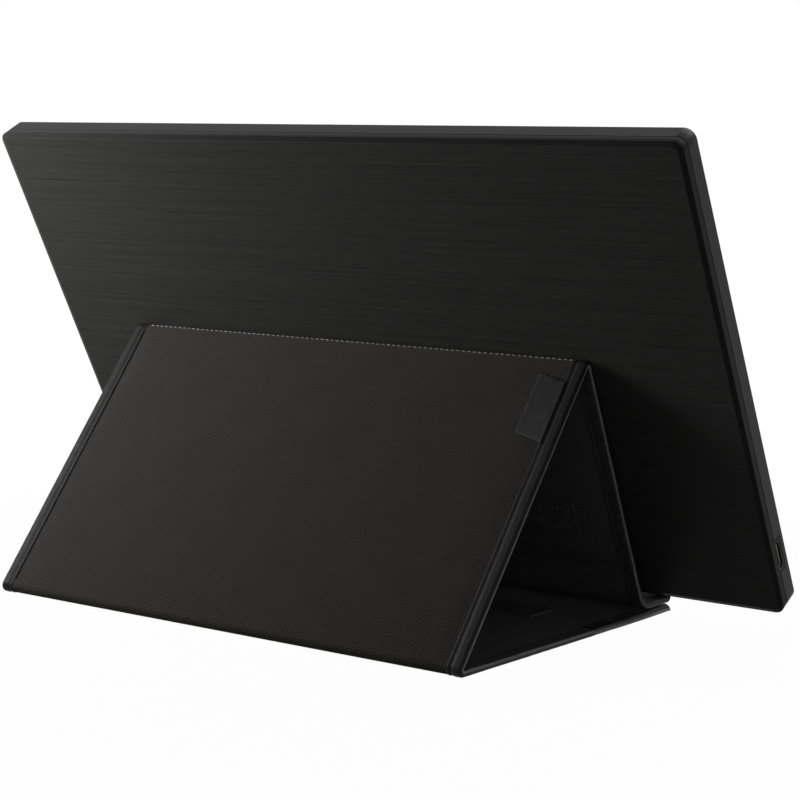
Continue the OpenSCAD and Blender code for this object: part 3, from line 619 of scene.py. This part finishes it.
# Foot and lip. Doubled lining cloth, left soft below the front panel: it bends forward under
# the monitor, lies on the toe, and turns up in front of the screen round a springy stay.
bend = Vector((-0.070272, 0.0168))
bend_radius = 0.010
cloth_depth = 0.0016
ledge = 0.0068
heel = Vector((-0.0869, 0.0076))
heel_radius = 0.0008
lip_top = 0.0198


def foot_rows():
    """Stations down the foot's upper face, from the open seam to the top of the lip."""
    rows = []
    for along in spread(0.10807, 0.12265, 6):
        inward = towards(front_turn + 90)
        rows.append((apex_axis + towards(front_turn) * along - inward * 0.0028, inward))
    for angle in spread(-26.2, -90, 14)[1:]:
        rows.append((bend + towards(angle) * bend_radius, towards(angle)))
    for y in spread(bend.x, heel.x, 6)[1:-1]:
        rows.append((Vector((y, ledge)), Vector((0, -1))))
    for angle in spread(-90, -180, 8):
        rows.append((heel + towards(angle) * heel_radius, towards(angle)))
    for z in spread(heel.y, lip_top, 8)[1:]:
        rows.append((Vector((heel.x - heel_radius, z)), Vector((-1, 0))))
    return measured([(origin, inward, 0) for origin, inward in rows], 0, 0)


foot_path = foot_rows()
upper_face = [tuple(origin) for origin, _, _ in foot_path]
lower_face = [tuple(origin + inward * cloth_depth) for origin, inward, _ in foot_path]
foot = make_slab("foot_cloth_layers", upper_face + lower_face[::-1], foot_twill, seed=3,
    wander=0.00008)
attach(foot, "base")
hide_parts("foot_cloth")


# Ledge pad. A strip of soft black foam glued on the ledge, which keeps the monitor's lower rim
# off the cloth; its top edges are rounded.
pad_low, pad_high = 0.0068, 0.0112
pad_front, pad_rear = -0.0875, -0.0704
pad_round = 0.0008
pad_loop = [(pad_front, pad_low), (pad_rear, pad_low), (pad_rear, pad_high - pad_round),
    (pad_rear - 0.0002, pad_high - 0.0003), (pad_rear - pad_round, pad_high)]
pad_loop += [(y, pad_high) for y in spread(pad_rear - pad_round, pad_front + pad_round, 6)[1:]]
pad_loop += [(pad_front + 0.0002, pad_high - 0.0003), (pad_front, pad_high - pad_round)]
pad_foam = new_finish("Pad_foam", (0.014, 0.014, 0.014), 0.9)
pores = add(pad_foam, "TexVoronoi", Vector=place_of(pad_foam), Scale=1500).outputs["Distance"]
feed(pad_foam, ramp(pad_foam, pores, (0.1, 0.006), (0.6, 0.02)), "Base Color")
relief(pad_foam, pores, 0.00025, 0.8)
pad = make_slab("ledge_foam_pad", pad_loop, pad_foam, 60, 0.1248, 8, 0.00004)
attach(pad, "base")
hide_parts("ledge_pad")


# Bindings. A black satin tape with a fine cross rib, folded over the side edges of every panel,
# round the folds, the toe and the foot, and sewn through near its inner edge. A painted highlight
# runs along its inner corner, and its inner side is painted lighter than the outer one as painted
# light.
satin_tape = new_finish("Satin_tape", (0.012, 0.012, 0.0125), 0.33, Specular_IOR_Level=0.07)
tape_map = add(satin_tape, "TexCoord").outputs["UV"]
cross_ribs = add(satin_tape, "TexWave", Vector=tape_map, bands_direction="Y",
    Scale=wave_period / 0.00042, Distortion=0.8, Detail=2).outputs["Fac"]
rubbed = add(satin_tape, "TexNoise", Vector=tape_map, Scale=160, Detail=6).outputs["Fac"]
outer_colour = ramp(satin_tape, rubbed, (0.35, (0.006, 0.006, 0.0063)),
    (0.75, (0.0115, 0.0115, 0.0118)))
# painted light: the tape's inner side, facing the shaded inside of the stand, is painted several
# times lighter than its outer side
inner_side_painted_light = ramp(satin_tape, rubbed, (0.3, (0.038, 0.038, 0.0386)),
    (0.75, (0.07, 0.07, 0.0711)))
# painted highlight: a pale band along the tape's inner corner, mixed over the tape's colour below
painted_highlight_colour = ramp(satin_tape, rubbed, (0.3, (0.22, 0.22, 0.2235)), (0.7, (0.34, 0.34, 0.345)))
round_tape = add(satin_tape, "SeparateXYZ", Vector=tape_map).outputs["X"]
inner_side = add(satin_tape, "MapRange", Value=round_tape, From_Min=0.0094,
    From_Max=0.0112).outputs["Result"]
tape_colour = add(satin_tape, "MixRGB", Fac=inner_side, Color1=outer_colour,
    Color2=inner_side_painted_light).outputs["Color"]
inner_corner = 0.0092
off_corner = add(satin_tape, "Math", operation="SUBTRACT", In0=round_tape,
    In1=inner_corner).outputs[0]
off_corner = add(satin_tape, "Math", operation="ABSOLUTE", In0=off_corner).outputs[0]
at_corner = add(satin_tape, "MapRange", Value=off_corner, From_Min=0.0008,
    From_Max=0.0003).outputs["Result"]
wear_and_painted_highlight = add(satin_tape, "MixRGB", Fac=at_corner, Color1=tape_colour, Color2=painted_highlight_colour)
feed(satin_tape, wear_and_painted_highlight.outputs["Color"], "Base Color")
feed(satin_tape, ramp(satin_tape, rubbed, (0.3, 0.42), (0.7, 0.55)), "Roughness")
relief(satin_tape, sum_of(satin_tape, cross_ribs, rubbed, 1.5), 0.00006, 0.5)


def tape_profile(side, outer, inner):
    """The folded tape, from its outer edge round the panel's side to its inner edge."""
    corner = min(0.0011, (inner - outer) / 2)
    face = [(tape_width, 0.00036), (tape_width - 0.0002, 0.00016),
        (tape_width - 0.0006, 0.00005), (tape_width - 0.0011, 0.00006),
        (seam_in + 0.0007, 0.00014), (seam_in + 0.0002, 0.0003), (seam_in - 0.0002, 0.0003),
        (seam_in - 0.0009, 0.00006), (seam_in - 0.0016, -0.00004), (0.0022, -0.00002),
        (0.0014, 0.00002)]
    bends = [math.radians(a) for a in spread(0, 90, 6)]
    turn = [(corner - corner * math.sin(a), corner - corner * math.cos(a)) for a in bends]
    points = [(w, outer + z) for w, z in face + turn]
    points += [(w, inner - z) for w, z in turn[::-1] + face[::-1]]
    return [(side * (half_cover - w), z) for w, z in points]


def tape_wander(seed, centre):
    """Small puckers between the stitches and a slow wander of the tape's edge."""
    def warp(across, inwards, distance):
        slow = noise.noise(Vector((distance * 45, seed, 2)))
        quick = noise.noise(Vector((distance * 260, across * 300, seed)))
        across -= math.copysign(0.00018, across) * slow
        outwards = 1 if inwards > centre else -1
        return across, inwards + (0.00006 * quick + 0.00005 * slow) * outwards
    return warp


def toe_wander(seed):
    """Closes the tape round the toe's thin tip."""
    wander = tape_wander(seed, 0.0018)

    def warp(across, inwards, distance):
        across, inwards = wander(across, inwards, distance)
        return across, inwards + (0.0018 - inwards) * 0.78 * nose(distance)
    return warp


def foot_wander(seed):
    """Crumples the tape where it turns from the front panel's end on to the foot."""
    wander = tape_wander(seed, 0.0008)

    def warp(across, inwards, distance):
        across, inwards = wander(across, inwards, distance)
        crumpled = math.exp(-((distance - 0.005) / 0.004) ** 2)
        inwards += 0.00045 * crumpled * noise.noise(Vector((distance * 420, seed, 1)))
        return across + 0.0006 * crumpled * noise.noise(Vector((distance * 380, seed, 6))), inwards
    return warp


for side, hand in ((1, "left"), (-1, "right")):
    wrap = tape_profile(side, -0.0033, 0.0)
    tapes = {
        "back": ("back_panel", panel_rows("back_panel", fold_length, back_end, 0.0012)),
        "front": ("front_panel", panel_rows("front_panel", fold_length, front_length, 0.0012)),
        "base": ("base", panel_rows("base", fold_length, base_length, 0.0012)),
    }
    for place, (body, rows) in tapes.items():
        tape = make_strip(f"{place}_binding_tape_{hand}", rows, wrap, 0.00026, satin_tape,
            warp=tape_wander(side + len(place), -0.0016), by_length=True)
        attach(tape, body)
        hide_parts(f"{place}_binding_{hand}")
    tight = [(x, min(z, -0.0003)) for x, z in wrap]
    for place, rows, ends, bodies in (("rear", rear_tabs, rear_ends, ("base", "back_panel")),
            ("apex", apex_tabs, apex_ends, ("back_panel", "front_panel"))):
        tape = make_strip(f"{place}_fold_tape_{hand}", rows, tight, 0.00025, satin_tape,
            by_length=True)
        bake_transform(tape)
    toe_path = [(Vector((y, 0.0036 + toe_lift(y) - 0.0014 * nose(y))), Vector((0, -1)), y)
        for y in toe_stops[::-1]]
    toe_tape = make_strip(f"toe_binding_tape_{hand}", toe_path, tape_profile(side, 0.0, 0.0036),
        0.00026, satin_tape, warp=toe_wander(side + 7), by_length=True)
    foot_tape = make_strip(f"foot_binding_tape_{hand}", foot_path,
        tape_profile(side, -0.0004, cloth_depth + 0.0004), 0.00026, satin_tape,
        warp=foot_wander(side + 9), by_length=True)
    for tape, place in ((toe_tape, "toe"), (foot_tape, "foot")):
        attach(tape, "base")
        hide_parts(f"{place}_binding_{hand}")


# Strips. The hook side is a stiff ribbed strip on the base, the loop side a fluffy patch on the
# front panel, and a woven hem band closes the board's lower end; all are sewn to the lining.
hook_tape = plain_finish("Hook_strip", (0.022, 0.022, 0.0225), (0.06, 0.06, 0.061), 0.5, 1900,
    0.0003)
loop_fluff = plain_finish("Loop_fluff", (0.03, 0.03, 0.0305), (0.16, 0.16, 0.162), 0.95, 1300,
    0.0006, Specular_IOR_Level=0.05)
# painted light: the hem band is painted lighter than black cloth, to stand in for light in the
# shaded inside of the stand
hem_weave = twill("Hem_weave", (0.045, 0.045, 0.0457), (0.105, 0.105, 0.1066), 0.0006, 0.6, 0.05)


def hook_shape(across, inwards, distance):
    rows = 0.00022 * math.sin(distance * 2 * math.pi / 0.0019)
    return across, inwards + rows + 0.0001 * noise.noise(Vector((across * 900, distance * 900, 1)))


def loop_shape(across, inwards, distance):
    tufts = noise.noise(Vector((across * 650, distance * 650, 4)))
    return across, inwards + 0.00025 * tufts


hook_top = 0.001
hook_rows = panel_rows("base", 0.1062, 0.1262, 0.00048)
hook = make_strip("hook_strip_ribbed", hook_rows,
    [(x, hook_top) for x in spread(-0.0975, -0.0275, 90)], 0.0011, hook_tape, 1, hook_shape)
loop_rows = panel_rows("front_panel", 0.0735, 0.0905, 0.0006)
loop = make_strip("loop_patch_fluffy", loop_rows,
    [(x, 0.0006) for x in spread(-0.1075, -0.0375, 110)], 0.0010, loop_fluff, 1, loop_shape)
hem = make_strip("hem_band_woven", panel_rows("front_panel", 0.09977, 0.10577, 0.0006),
    [(x, 0.0001) for x in spread(-0.125, 0.125, 60)], 0.0005, hem_weave, 1)
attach(hook, "base")
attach(loop, "front_panel")
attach(hem, "front_panel")
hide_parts("hook_strip")
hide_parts("loop_patch")
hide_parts("hem_band")


# Tag. A folded piece of smooth black leather, left bare, with rounded corners; its end is caught
# under the binding when that is sewn.
tag_leather = new_finish("Tag_leather", (0.014, 0.014, 0.0145), 0.4, Specular_IOR_Level=0.12)
where = place_of(tag_leather)
pebbles = add(tag_leather, "TexVoronoi", Vector=where, Scale=1400,
    feature="DISTANCE_TO_EDGE").outputs["Distance"]
wear_and_painted_highlight = add(tag_leather, "TexNoise", Vector=where, Scale=120, Detail=5).outputs["Fac"]
feed(tag_leather, ramp(tag_leather, wear_and_painted_highlight, (0.3, (0.0065, 0.0065, 0.0068)),
    (0.75, (0.0165, 0.0165, 0.0168))), "Base Color")
feed(tag_leather, ramp(tag_leather, wear_and_painted_highlight, (0.3, 0.34), (0.7, 0.5)), "Roughness")
relief(tag_leather, add(tag_leather, "Math", operation="MINIMUM", In0=pebbles,
    In1=0.12).outputs[0], 0.0006, 0.7)
tag_width, tag_length, tag_skew = 0.0142, 0.032, 0.0018
tag_near, tag_low, tag_corner = -0.1262, 0.109, 0.0013
start_clean()
bpy.ops.mesh.primitive_grid_add(x_subdivisions=44, y_subdivisions=64, size=1)
tag = bpy.context.object
tag.name = tag.data.name = "side_tag_leather"
for vertex in tag.data.vertices:
    far = min(max(vertex.co.x + 0.5, 0), 1) ** 0.8
    up = min(max(vertex.co.y + 0.5, 0), 1)
    up = 0.5 - 0.5 * math.cos(up * math.pi) * (1 + 0.18 * math.sin(up * math.pi) ** 2)
    past = max(far * tag_width - (tag_width - tag_corner), 0)
    short = tag_corner - math.sqrt(max(tag_corner ** 2 - past ** 2, 0))
    along = tag_low + short + (tag_length - 2 * short) * up + tag_skew * (2 * far - 1)
    edge = min((1 - far) * tag_width, up * tag_length, (1 - up) * tag_length)
    level = -0.00402 - 0.0005 * far ** 3 + 0.00022 * math.exp(-(edge / 0.0005) ** 2)
    level -= 0.0002 * math.sin(far * math.pi) * math.sin(up * math.pi)
    level -= 0.00015 * noise.noise(Vector((far * 3, up * 5, 2)))
    point = rear_axis + towards(back_turn) * along + towards(back_turn + 90) * level
    vertex.co = (cover_middle + tag_near + tag_width * far, point.x, point.y)
facing = tag.data.polygons[0].normal.dot(Vector((0, *-towards(back_turn + 90))))
if facing < 0:
    bpy.ops.object.mode_set(mode="EDIT")
    bpy.ops.mesh.select_all(action="SELECT")
    bpy.ops.mesh.flip_normals()
    bpy.ops.object.mode_set(mode="OBJECT")
solid = tag.modifiers.new("Thickness", "SOLIDIFY")
solid.thickness = 0.001
solid.offset = -1
bpy.ops.object.modifier_apply(modifier=solid.name)
bpy.ops.object.shade_smooth_by_angle(angle=math.radians(50))
tag.data.materials.append(tag_leather)
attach(tag, "back_panel")
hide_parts("side_tag")


# Seams. The fold at the apex is topstitched in a pale thread, which stands out on the cloth;
# the bindings and the strips are sewn in black. Each stitch dips at both ends.
def thread(name, dark, light):
    finish = new_finish(name, light, 0.6, Specular_IOR_Level=0.1)
    plies = add(finish, "TexNoise", Vector=place_of(finish), Scale=5200, Detail=3).outputs["Fac"]
    feed(finish, ramp(finish, plies, (0.3, dark), (0.7, light)), "Base Color")
    relief(finish, plies, 0.00008, 0.6)
    return finish


pale_thread = thread("Pale_thread", (0.3, 0.285, 0.26), (0.52, 0.5, 0.46))
black_thread = thread("Black_thread", (0.006, 0.006, 0.006), (0.014, 0.014, 0.0143))
random.seed(15)


def sew(name, spots, size, finish, body=None):
    """One stitch, shaped once and copied to every spot of (point, along, outward)."""
    start_clean()
    bpy.ops.mesh.primitive_uv_sphere_add(segments=8, ring_count=6, radius=0.5,
        rotation=(0, math.pi / 2, 0))
    pattern = bpy.context.object
    bpy.ops.object.transform_apply(location=False, rotation=True, scale=False)
    for vertex in pattern.data.vertices:
        x, y, z = vertex.co
        fuller = 1 + 0.35 * (1 - abs(2 * x) ** 3)
        vertex.co = (x * size[0], y * size[1] * fuller, (z * fuller - 1.3 * x * x) * size[2])
    bpy.ops.object.shade_smooth()
    copies = []
    for point, along, outward in spots:
        side = outward.cross(along).normalized()
        turn = random.uniform(-0.06, 0.06)
        along = (along + side * turn).normalized()
        side = outward.cross(along).normalized()
        matrix = Matrix((along, side, outward.normalized())).transposed().to_4x4()
        matrix.translation = point
        mesh = pattern.data.copy()
        mesh.transform(matrix)
        stitch = bpy.data.objects.new(name, mesh)
        bpy.context.collection.objects.link(stitch)
        copies.append(stitch)
    bpy.data.objects.remove(pattern)
    start_clean()
    for stitch in copies:
        stitch.select_set(True)
    seam = copies[0]
    bpy.context.view_layer.objects.active = seam
    bpy.ops.object.join()
    seam.name = seam.data.name = name
    seam.data.materials.clear()
    seam.data.materials.append(finish)
    if body:
        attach(seam, body)
    return seam


def panel_spots(panel, level, outward, places):
    """Spots on a panel, from (across, along, across step, along step) places."""
    spots = []
    for across, along, step_x, step_y in places:
        origin, inward, _ = panel_rows(panel, along, along + 0.001, 0.001)[0]
        forward = panel_rows(panel, along + 0.001, along + 0.002, 0.001)[0][0] - origin
        point = origin + inward * level
        direction = Vector((step_x, forward.x * step_y * 1000, forward.y * step_y * 1000))
        spots.append((Vector((cover_middle + across, point.x, point.y)), direction.normalized(),
            Vector((0, inward.x, inward.y)) * outward))
    return spots


pitch = 0.0026
crest = towards(82)
crest_at = apex_axis + crest * 0.00304
apex_seam = sew("apex_topstitching",
    [(Vector((cover_middle - 0.1236 + 0.003 * i, crest_at.x, crest_at.y)), Vector((1, 0, 0)),
        Vector((0, crest.x, crest.y))) for i in range(83)],
    (0.0020, 0.00056, 0.00036), pale_thread)
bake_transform(apex_seam)
for side, hand in ((1, "left"), (-1, "right")):
    line = side * (half_cover - seam_in)
    for panel, place, length in (("back_panel", "back", 0.146), ("front_panel", "front", 0.107),
            ("base", "base", 0.1035)):
        stops = [0.0035 + pitch * i for i in range(int((length - 0.0035) / pitch))]
        for level, outward, face in ((-0.0030, -1, "outer"), (-0.0003, 1, "inner")):
            spots = panel_spots(panel, level, outward, [(line, y, 0, 1) for y in stops])
            sew(f"{place}_{face}_seam_{hand}", spots, (0.0018, 0.00034, 0.0002), black_thread,
                panel)


def border(low, high, start, end):
    """Places along the four sides of a strip, a little inside its edge."""
    places = [(x, y, 1, 0) for y in (start, end)
        for x in spread(low, high, round((high - low) / pitch))]
    return places + [(x, y, 0, 1) for x in (low, high)
        for y in spread(start, end, max(1, round((end - start) / pitch)))[1:-1]]


sew("loop_patch_seam", panel_spots("front_panel", 0.00085, 1,
    border(-0.106, -0.039, 0.075, 0.089)), (0.0018, 0.0004, 0.0003), black_thread, "front_panel")
sew("hook_strip_seam", panel_spots("base", hook_top + 0.0003, 1,
    border(-0.096, -0.029, 0.1077, 0.1247)), (0.0018, 0.0004, 0.0003), black_thread, "base")


# Studio. A plain table top that looks white, a small lamp near the left, others in front, to the
# right and beside the camera, and a white surround; the camera stands behind the monitor.
start_clean()
bpy.ops.mesh.primitive_plane_add(size=30)
table = bpy.context.object
table.name = "Table_top"
table_paint = new_finish("Table_paint", (0.15, 0.15, 0.15), 0.9, Specular_IOR_Level=0.2)
where = place_of(table_paint)
fleck = add(table_paint, "TexNoise", Vector=where, Scale=60, Detail=3).outputs["Fac"]
feed(table_paint, ramp(table_paint, fleck, (0.3, 0.142), (0.7, 0.158)), "Base Color")
away = add(table_paint, "VectorMath", operation="LENGTH", In0=where).outputs["Value"]
glow = add(table_paint, "Emission", Strength=1.03)
path = add(table_paint, "LightPath")
plain = add(table_paint, "Math", operation="MAXIMUM", In0=path.outputs["Is Camera Ray"],
    In1=path.outputs["Is Glossy Ray"]).outputs[0]
plain = add(table_paint, "Math", operation="MAXIMUM", In0=plain,
    In1=path.outputs["Is Transmission Ray"]).outputs[0]
whiter = add(table_paint, "MapRange", Value=away, From_Min=0.3, From_Max=0.7, To_Min=0.95,
    To_Max=1.0).outputs["Result"]
share = add(table_paint, "Math", operation="MULTIPLY", In0=plain, In1=whiter).outputs[0]
nodes, links = table_paint.node_tree.nodes, table_paint.node_tree.links
mix = add(table_paint, "MixShader", In0=share,
    In1=nodes["Principled BSDF"].outputs["BSDF"], In2=glow.outputs["Emission"])
links.new(mix.outputs["Shader"], nodes["Material Output"].inputs["Surface"])
table.data.materials.append(table_paint)

world = bpy.data.worlds.new("Surround")
bpy.context.scene.world = world
world.use_nodes = True
nodes, links = world.node_tree.nodes, world.node_tree.links
nodes.clear()
path = nodes.new("ShaderNodeLightPath")
seen = nodes.new("ShaderNodeMath")
seen.operation = "MAXIMUM"
links.new(path.outputs["Is Camera Ray"], seen.inputs[0])
links.new(path.outputs["Is Glossy Ray"], seen.inputs[1])
clear = nodes.new("ShaderNodeMath")
clear.operation = "MAXIMUM"
links.new(seen.outputs[0], clear.inputs[0])
links.new(path.outputs["Is Transmission Ray"], clear.inputs[1])
lit = nodes.new("ShaderNodeBackground")
lit.inputs["Color"].default_value = (1, 1, 1, 1)
lit.inputs["Strength"].default_value = 0.10
white = nodes.new("ShaderNodeBackground")
white.inputs["Color"].default_value = (1, 1, 1, 1)
mix = nodes.new("ShaderNodeMixShader")
output = nodes.new("ShaderNodeOutputWorld")
links.new(clear.outputs[0], mix.inputs[0])
links.new(lit.outputs[0], mix.inputs[1])
links.new(white.outputs[0], mix.inputs[2])
links.new(mix.outputs[0], output.inputs["Surface"])


def lamp(name, place, target, size, power):
    data = bpy.data.lights.new(name, "AREA")
    data.shape = "RECTANGLE"
    data.size, data.size_y = size
    data.energy = power
    light = bpy.data.objects.new(name, data)
    light.location = place
    light.rotation_mode = "QUATERNION"
    light.rotation_quaternion = (Vector(target) - Vector(place)).to_track_quat("-Z", "Y")
    bpy.context.collection.objects.link(light)


lamp("Near_left_lamp", (0.36, 0.22, 0.28), (0, 0, 0.1), (0.22, 0.22), 2.35)
lamp("High_front_lamp", (-0.3, -1.3, 1.5), (0, 0, 0.1), (1.6, 0.8), 27)
lamp("Far_right_lamp", (-1.3, -0.3, 0.35), (0, 0, 0.1), (1.2, 0.7), 0.95)
lamp("Camera_side_lamp", (-0.8, 0.8, 0.3), (0, 0, 0.1), (0.4, 0.4), 0.25)

camera_data = bpy.data.cameras.new("Camera")
camera_data.lens = 94.38
camera_data.sensor_width = 36
camera_data.clip_start = 0.05
camera = bpy.data.objects.new("Camera", camera_data)
camera.location = (-0.5848, 0.7856, 0.2018)
camera.rotation_euler = [math.radians(a) for a in (83.94357, -1.48534, -144.43370)]
bpy.context.collection.objects.link(camera)
bpy.context.scene.camera = camera
bpy.context.scene.view_settings.view_transform = "Standard"
